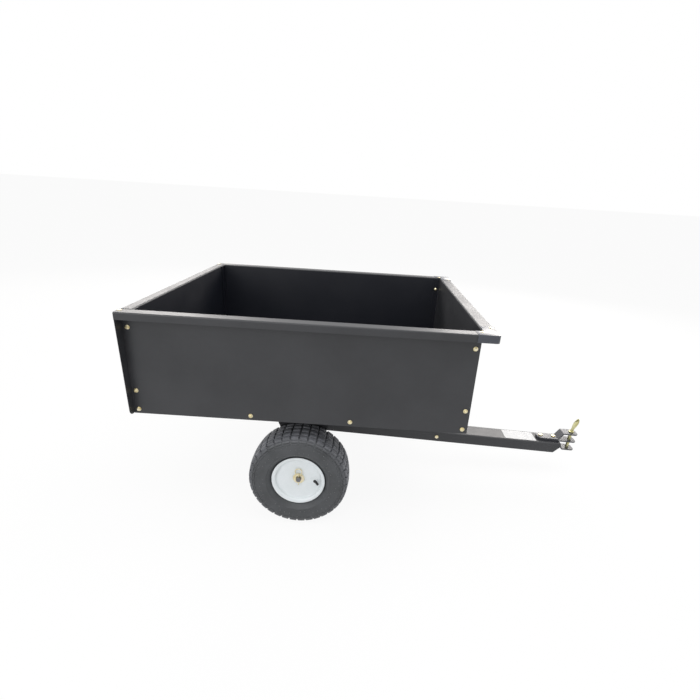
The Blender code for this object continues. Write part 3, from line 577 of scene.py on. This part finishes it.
def fitWheel(label, side):
    body = "wheel_" + label
    centre = side * (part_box("rim_" + label)[0].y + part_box("rim_" + label)[1].y) / 2
    place = wheelPlace(side) @ Matrix.Translation((0, 0, centre))
    skin = placedCopy(tyreMaster, "treadTyre_" + label, place)
    paint(skin, tyreRubber, body)
    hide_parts("tyre_" + label)
    nubs = placedCopy(nubsMaster, "ventNubs_" + label, place)
    paint(nubs, nubHighlightRubber, body)
    dish = placedCopy(rimMaster, "enamelRim_" + label, place)
    paint(dish, whiteEnamel, body)
    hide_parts("rim_" + label)
    low, high, radius = boxAlong("hub_" + label, side)
    hub = makeRing("hub", 0.0177, radius, low, high, 0.0005)
    hub.matrix_world = wheelPlace(side)
    hub.name = "hubTube_" + label
    settle(hub)
    paint(hub, whiteEnamel, body)
    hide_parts("hub_" + label)
    for word in ("outer", "inner"):
        node = "bearing_%s_%s" % (word, label)
        low, high, radius = boxAlong(node, side)
        ring = makeRing("bearing", boreRadius, radius - 0.0016, low, high, 0.0006)
        lipLow, lipHigh = (high - 0.0015, high) if word == "outer" else (low, low + 0.0015)
        lip = makeRing("bearingLip", radius - 0.0020, radius, lipLow, lipHigh, 0.0004)
        bearing = joinPieces([ring, lip], "wheelBearing_%s_%s" % (word, label))
        bearing.matrix_world = wheelPlace(side)
        settle(bearing)
        paint(bearing, yellowZinc, body)
        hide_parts(node)
        node = "washer_%s_%s" % (word, label)
        low, high, radius = boxAlong(node, side)
        washer = makeRing("washer", boreRadius, radius, low, high, 0.0004)
        washer.name = "axleWasher_%s_%s" % (word, label)
        washer.matrix_world = wheelPlace(side)
        settle(washer)
        paint(washer, yellowZinc, "chassis")
        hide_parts(node)
    # Both valves sit at the same turn of their wheel, seen from the left.
    around = wheelPlace(side) @ Matrix.Translation((0, 0, centre))
    direction = Vector((math.cos(valve["turn"]), 0, math.sin(valve["turn"])))
    outwards = Vector((0, side, 0))
    foot = Vector(axleCentre) + Vector((0, side * centre, 0))
    foot += direction * valve["reach"] + outwards * valve["face"]
    axis = (outwards * math.cos(valve["lean"]) + direction * math.sin(valve["lean"])).normalized()
    stand = Matrix.Translation(foot) @ Vector((0, 0, 1)).rotation_difference(axis).to_matrix().to_4x4()
    stem = placedCopy(valveMaster, "valveStem_" + label, stand)
    paint(stem, moulded, body)
    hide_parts("valve_stem_" + label)


for wheelLabel, wheelSide in sides:
    fitWheel(wheelLabel, wheelSide)
for master in (tyreMaster, nubsMaster, rimMaster, valveMaster):
    bpy.data.objects.remove(master)
print("wheels fitted")


# --- axle bar and its ring cotters

def makeAxle():
    radius = (axleBox[1].x - axleBox[0].x) / 2
    reach = axleBox[1].y
    rings = ((radius - 0.0014, -reach), (radius, -reach + 0.0014), (radius, reach - 0.0014),
             (radius - 0.0014, reach))
    bar = turnRings("axleBar", rings, 48)
    bar.matrix_world = wheelPlace(1)
    settle(bar)
    smooth(bar, 40)
    paint(bar, drawnSteel, "chassis")
    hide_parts("axle")


def makeCotter(label):
    node = "ring_cotter_" + label
    low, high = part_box(node)
    wire = 0.0014
    ringRadius = (high.x - low.x) / 2 - wire
    middle = Vector(((low.x + high.x) / 2, (low.y + high.y) / 2, high.z - wire - ringRadius))
    points = [(middle.x, middle.y, low.z), (middle.x, middle.y, middle.z - ringRadius - 0.006)]
    for step in range(47):
        angle = math.radians(-90 + 330 * step / 46)
        points.append((middle.x + ringRadius * math.cos(angle), middle.y,
                       middle.z + ringRadius * math.sin(angle)))
    cotter = bendWire("ringCotter_" + label, points, wire)
    paint(cotter, yellowZinc, "chassis")
    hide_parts(node)


makeAxle()
for wheelLabel, wheelSide in sides:
    makeCotter(wheelLabel)
print("axle fitted")


# --- bolts: a coach bolt with a flanged nut, and hexagon bolts

sideBolt = {"dome": ((0.0010, -0.0042), (0.0035, -0.0038), (0.0060, -0.0024), (0.0072, -0.0008),
                     (0.0075, -0.0001), (0.0040, 0.0)),
            "nutFlange": 0.0070, "nutAcross": 0.0058}


def makeHex(name, across, low, high, chamfer):
    clearSelection()
    bpy.ops.mesh.primitive_cylinder_add(vertices=6, radius=across, depth=high - low,
                                        location=(0, 0, (low + high) / 2))
    nut = named(name)
    settle(nut)
    bpy.ops.object.mode_set(mode="EDIT")
    pickFaces(nut, lambda face: face.normal.z > 0.9)
    bpy.ops.mesh.inset(thickness=chamfer)
    bpy.ops.transform.translate(value=(0, 0, chamfer * 0.45))
    bpy.ops.object.mode_set(mode="OBJECT")
    roundEdges(nut, chamfer * 0.35, 2, 20)
    return nut


def makeSideBolt(grip, tail):
    # Drawn with its dome below Z = 0, the sheets above it, then the nut.
    dome = turnRings("dome", sideBolt["dome"], 24)
    shank = turnRings("shank", ((0.0040, -0.0001), (0.0040, tail - 0.0006), (0.0034, tail)), 20)
    flange = makeRing("flange", 0.0041, sideBolt["nutFlange"], grip, grip + 0.0014, 0.0004, 32)
    nut = makeHex("nut", sideBolt["nutAcross"], grip + 0.0012, grip + 0.0046, 0.0009)
    bolt = joinPieces([dome, shank, flange, nut], "sideBoltMaster")
    smooth(bolt, 35)
    return bolt


firstLow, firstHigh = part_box("side_bolt_left_1")
boltReach = firstHigh.y - firstLow.y
boltHead = 0.0043
boltMaster = makeSideBolt(0.0036, boltReach - boltHead)
for wheelLabel, wheelSide in sides:
    for number in range(1, 9):
        nodeName = "side_bolt_%s_%d" % (wheelLabel, number)
        low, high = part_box(nodeName)
        inner = min(abs(low.y), abs(high.y))
        spot = Vector(((low.x + high.x) / 2, wheelSide * (inner + boltHead), (low.z + high.z) / 2))
        turn = Matrix.Rotation(-wheelSide * math.pi / 2, 4, "X")
        spin = Matrix.Rotation(0.7 * number, 4, "Z")
        bolt = placedCopy(boltMaster, "coachBolt_%s_%d" % (wheelLabel, number),
                          Matrix.Translation(spot) @ turn @ spin)
        paint(bolt, yellowZinc, "bed")
        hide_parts(nodeName)
bpy.data.objects.remove(boltMaster)


def makeHexBolt(name, length, body):
    # Head at the bottom, nut above: drawn upside down for a bolt dropped from above.
    head = makeHex("head", 0.0085, -0.0002, 0.0042, 0.0010)
    shank = turnRings("shank", ((0.0042, -length), (0.0050, -length + 0.0010), (0.0050, 0.0)), 24)
    return joinPieces([head, shank], name)


def fitHitchBolt(word):
    node = "hitch_bolt_" + word
    low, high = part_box(node)
    middle = (low + high) / 2
    pitch = math.radians(2.2)
    length = (high.z - low.z) - 0.0045
    bolt = makeHexBolt("hitchHexBolt_" + word, length, "chassis")
    nut = makeHex("nut", 0.0088, -length + 0.0030, -length + 0.0105, 0.0009)
    bolt = joinPieces([bolt, nut], "hitchHexBolt_" + word)
    seat = Vector((middle.x, 0, high.z - 0.0046))
    bolt.matrix_world = Matrix.Translation(seat) @ Matrix.Rotation(pitch, 4, "Y")
    settle(bolt)
    smooth(bolt, 35)
    paint(bolt, yellowZinc, "chassis")
    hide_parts(node)


for word in ("rear", "front"):
    fitHitchBolt(word)


def fitLatchBolt():
    low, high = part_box("latch_pivot_bolt")
    middle = (low + high) / 2
    radius = 0.0040
    shank = turnRings("shank", ((radius - 0.0006, low.y), (radius, low.y + 0.0006),
                                (radius, high.y - 0.0006), (radius - 0.0006, high.y)), 24)
    head = makeHex("head", 0.0078, 0.0432, 0.0465, 0.0008)
    nut = makeHex("nut", 0.0074, 0.0432, 0.0490, 0.0008)
    nut.matrix_world = Matrix.Identity(4)
    head.matrix_world = Matrix.Rotation(math.pi, 4, "X")
    settle(head)
    bolt = joinPieces([shank, head, nut], "latchPivotBolt")
    bolt.matrix_world = Matrix.Translation((middle.x, 0, middle.z)) @ Matrix.Rotation(-math.pi / 2, 4, "X")
    settle(bolt)
    smooth(bolt, 35)
    paint(bolt, yellowZinc, "chassis")
    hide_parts("latch_pivot_bolt")
    return middle


latchPivot = fitLatchBolt()
dressNode("latch_spring", yellowZinc, 0.0002)
print("bolts fitted")


# --- corner caps: thin pressings with two low heads each

cap = {"lower": 0.0010, "headRadius": 0.0066, "headHeight": 0.0010}


def copyNode(nodeName, name):
    node = bpy.data.objects[nodeName]
    pick(node)
    bpy.ops.object.duplicate(linked=False)
    piece = named(name)
    piece.parent = None
    closeSeams(piece)
    return piece


def makeLowHead(name, spot, height, body):
    rings = ((cap["headRadius"], 0.0), (cap["headRadius"], height * 0.35),
             (cap["headRadius"] * 0.8, height * 0.85), (cap["headRadius"] * 0.4, height))
    head = turnRings(name, rings, 24)
    head.matrix_world = Matrix.Translation(spot)
    settle(head)
    smooth(head, 40)
    paint(head, yellowZinc, body)
    return head


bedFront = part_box("floor_tray")[1].x
for wheelLabel, wheelSide in sides:
    nodeName = "corner_cap_" + wheelLabel
    low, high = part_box(nodeName)
    piece = copyNode(nodeName, "pressedCap_" + wheelLabel)
    pick(piece)
    bpy.ops.object.mode_set(mode="EDIT")
    pickFaces(piece, lambda face: all(vert.co.z > high.z - 0.0002 for vert in face.verts))
    bpy.ops.transform.translate(value=(0, 0, -cap["lower"]))
    bpy.ops.object.mode_set(mode="OBJECT")
    roundEdges(piece, 0.0004, 2, 50)
    smooth(piece, 35)
    paint(piece, capPaint, "bed")
    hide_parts(nodeName)
    top = high.z - cap["lower"]
    spots = ((high.x - 0.0440 - 0.0020, wheelSide * (abs(high.y if wheelSide > 0 else low.y) - 0.0330)),
             (high.x - 0.0100, wheelSide * (abs(high.y if wheelSide > 0 else low.y) - 0.0790)))
    for number, (x, y) in enumerate(spots, 1):
        makeLowHead("capHead_%s_%d" % (wheelLabel, number), Vector((x, y, top)), cap["headHeight"], "bed")

for wheelLabel, wheelSide in sides:
    low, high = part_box("side_panel_" + wheelLabel)
    edge = high.y if wheelSide > 0 else -low.y
    spot = Vector((low.x + 0.0070, wheelSide * (edge - 0.0245), high.z))
    makeLowHead("flangeHead_" + wheelLabel, spot, 0.0016, "bed")
print("caps fitted")


# --- hitch pin with its twisted flat handle

pin = {"radius": 0.00635, "collar": 0.0100, "twist": 62}


def makeHitchPin():
    low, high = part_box("hitch_pin")
    pitch = math.radians(2.2)
    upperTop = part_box("hitch_strap_upper")[1].z
    height = high.z - low.z
    collarAt = upperTop - low.z - 0.0010
    rings = ((pin["radius"] - 0.0020, 0.0), (pin["radius"], 0.0020), (pin["radius"], collarAt),
             (pin["collar"], collarAt), (pin["collar"], collarAt + 0.0035),
             (pin["radius"] * 0.8, collarAt + 0.0042))
    shaft = turnRings("shaft", rings, 32)
    clearSelection()
    start = collarAt + 0.0030
    bpy.ops.mesh.primitive_cube_add(size=1, location=(0, 0, start))
    blade = named("blade")
    blade.scale = (0.0100, 0.0060, 0.0010)
    settle(blade)
    bpy.ops.object.mode_set(mode="EDIT")
    pickFaces(blade, lambda face: face.normal.z > 0.9)
    widths = (1.0, 1.05, 1.22, 1.22, 1.10, 1.02, 0.94, 0.86, 0.70, 0.45)
    span = height - start - 0.0008
    level = start + 0.0005
    lean = 0.0
    for index, width in enumerate(widths):
        rise = span / len(widths)
        level += rise
        bpy.ops.mesh.extrude_region_move(TRANSFORM_OT_translate={"value": (0.0015, 0, rise)})
        lean += 0.0015
        bpy.ops.transform.resize(value=(width, 1.0 if index < 8 else 0.8, 1),
                                 center_override=(lean, 0, level))
        bpy.ops.transform.rotate(value=math.radians(pin["twist"] / len(widths)), orient_axis="Z",
                                 center_override=(lean, 0, level))
    bpy.ops.object.mode_set(mode="OBJECT")
    roundEdges(blade, 0.0009, 2, 30)
    piece = joinPieces([shaft, blade], "twistedHitchPin")
    foot = Vector(((low.x + 0.0075), 0, low.z + 0.0003))
    piece.matrix_world = Matrix.Translation(foot) @ Matrix.Rotation(pitch, 4, "Y")
    settle(piece)
    smooth(piece, 40)
    paint(piece, pinZinc, "hitch_pin")
    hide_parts("hitch_pin")


makeHitchPin()


# --- blank label on the tongue

label = {"start": 0.787, "end": 0.914, "half": 0.034, "thickness": 0.0003, "corner": 0.003}


def makeLabel():
    pitch = math.radians(2.2)
    length = label["end"] - label["start"]
    clearSelection()
    bpy.ops.mesh.primitive_plane_add(size=1)
    piece = named("blankLabel")
    piece.scale = (length, label["half"] * 2, 1)
    settle(piece)
    bpy.ops.object.mode_set(mode="EDIT")
    bpy.ops.mesh.select_all(action="SELECT")
    bpy.ops.mesh.bevel(offset=label["corner"], segments=5, affect="VERTICES")
    bpy.ops.mesh.select_all(action="SELECT")
    bpy.ops.mesh.extrude_region_move(TRANSFORM_OT_translate={"value": (0, 0, label["thickness"])})
    bpy.ops.object.mode_set(mode="OBJECT")
    closeSeams(piece)
    middle = (label["start"] + label["end"]) / 2
    seat = Matrix.Translation(axleCentre) @ Matrix.Rotation(pitch, 4, "Y")
    piece.matrix_world = seat @ Matrix.Translation((middle, 0, 0.0205 + 0.0001))
    settle(piece)
    paint(piece, blankVinyl, "chassis")


makeLabel()
print("hitch fitted")


# --- floor, light and camera

def makeStudio():
    clearSelection()
    bpy.ops.mesh.primitive_plane_add(size=400, location=(0, 0, -0.0005))
    floor = named("studioFloor")
    settle(floor)
    material = bpy.data.materials.new("paleFloor")
    material.use_nodes = True
    tree = material.node_tree
    shader = tree.nodes["Principled BSDF"]
    shader.inputs["Base Color"].default_value = (0.86, 0.86, 0.86, 1)
    shader.inputs["Roughness"].default_value = 0.9
    shader.inputs["Specular IOR Level"].default_value = 0.0
    shine = addNode(tree, "ShaderNodeEmission", {"Color": (1, 1, 1, 1), "Strength": 1.0})
    path = addNode(tree, "ShaderNodeLightPath")
    seen = addNode(tree, "ShaderNodeMath", operation="MAXIMUM")
    seenToo = addNode(tree, "ShaderNodeMath", operation="MAXIMUM")
    share = addNode(tree, "ShaderNodeMath", {1: 0.92}, operation="MULTIPLY")
    mix = addNode(tree, "ShaderNodeMixShader")
    links = tree.links
    links.new(path.outputs["Is Camera Ray"], seen.inputs[0])
    links.new(path.outputs["Is Glossy Ray"], seen.inputs[1])
    links.new(seen.outputs[0], seenToo.inputs[0])
    links.new(path.outputs["Is Transmission Ray"], seenToo.inputs[1])
    links.new(seenToo.outputs[0], share.inputs[0])
    links.new(share.outputs[0], mix.inputs["Fac"])
    links.new(shader.outputs["BSDF"], mix.inputs[1])
    links.new(shine.outputs["Emission"], mix.inputs[2])
    clear = addNode(tree, "ShaderNodeBsdfTransparent")
    side = addNode(tree, "ShaderNodeNewGeometry")
    below = addNode(tree, "ShaderNodeMixShader")
    links.new(side.outputs["Backfacing"], below.inputs["Fac"])
    links.new(mix.outputs["Shader"], below.inputs[1])
    links.new(clear.outputs["BSDF"], below.inputs[2])
    links.new(below.outputs["Shader"], tree.nodes["Material Output"].inputs["Surface"])
    floor.data.materials.append(material)


def makeWorld():
    world = bpy.data.worlds.new("studioRoom")
    bpy.context.scene.world = world
    world.use_nodes = True
    tree = world.node_tree
    back = tree.nodes["Background"]
    path = addNode(tree, "ShaderNodeLightPath")
    seen = addNode(tree, "ShaderNodeMath", operation="MAXIMUM")
    seenToo = addNode(tree, "ShaderNodeMath", operation="MAXIMUM")
    strength = addNode(tree, "ShaderNodeMapRange", {"To Min": 0.55, "To Max": 1.0})
    tree.links.new(path.outputs["Is Camera Ray"], seen.inputs[0])
    tree.links.new(path.outputs["Is Glossy Ray"], seen.inputs[1])
    tree.links.new(seen.outputs[0], seenToo.inputs[0])
    tree.links.new(path.outputs["Is Transmission Ray"], seenToo.inputs[1])
    tree.links.new(seenToo.outputs[0], strength.inputs["Value"])
    tree.links.new(strength.outputs["Result"], back.inputs["Strength"])
    back.inputs["Color"].default_value = (1, 1, 1, 1)


def addSoftbox(name, place, target, size, power):
    clearSelection()
    bpy.ops.object.light_add(type="AREA", location=place)
    lamp = bpy.context.object
    lamp.name = name
    lamp.data.shape = "RECTANGLE"
    lamp.data.size, lamp.data.size_y = size
    lamp.data.energy = power
    lamp.data.color = (1.0, 0.955, 0.92) if name.startswith("rear") else (1.0, 1.0, 1.0)
    lamp.rotation_euler = (Vector(target) - Vector(place)).to_track_quat("-Z", "Y").to_euler()


softboxes = (("overheadBox", (0.2, -0.6, 3.2), (-0.2, 0, 0.4), (3.0, 2.4), 60),
             ("frontBox", (-1.6, -3.0, 1.7), (-0.2, 0, 0.3), (2.0, 1.6), 26),
             ("rearLeftBox", (-2.5, 3.4, 2.45), (-0.4, 0, 0.6), (1.7, 1.2), 58),
             ("rearRightBox", (1.8, 3.4, 2.05), (0.2, 0, 0.4), (1.9, 1.5), 68))
view = {"place": (-0.1098, -1.6321, 1.0444), "down": 21.971, "turn": 0.348, "roll": 3.498,
        "lens": 22.874, "shift": (-0.01047, 0.03231)}


def placeCamera():
    clearSelection()
    bpy.ops.object.camera_add()
    camera = bpy.context.object
    camera.name = "studioCamera"
    turn = Matrix.Rotation(math.radians(view["turn"]), 4, "Z")
    tip = Matrix.Rotation(math.radians(90 - view["down"]), 4, "X")
    roll = Matrix.Rotation(math.radians(view["roll"]), 4, "Z")
    camera.matrix_world = Matrix.Translation(view["place"]) @ turn @ tip @ roll
    camera.data.sensor_width = 36
    camera.data.lens = view["lens"]
    camera.data.shift_x, camera.data.shift_y = view["shift"]
    camera.data.clip_start = 0.01
    bpy.context.scene.camera = camera


makeStudio()
makeWorld()
for softbox in softboxes:
    addSoftbox(*softbox)
placeCamera()
bpy.context.scene.view_settings.view_transform = "Standard"
print("studio set")
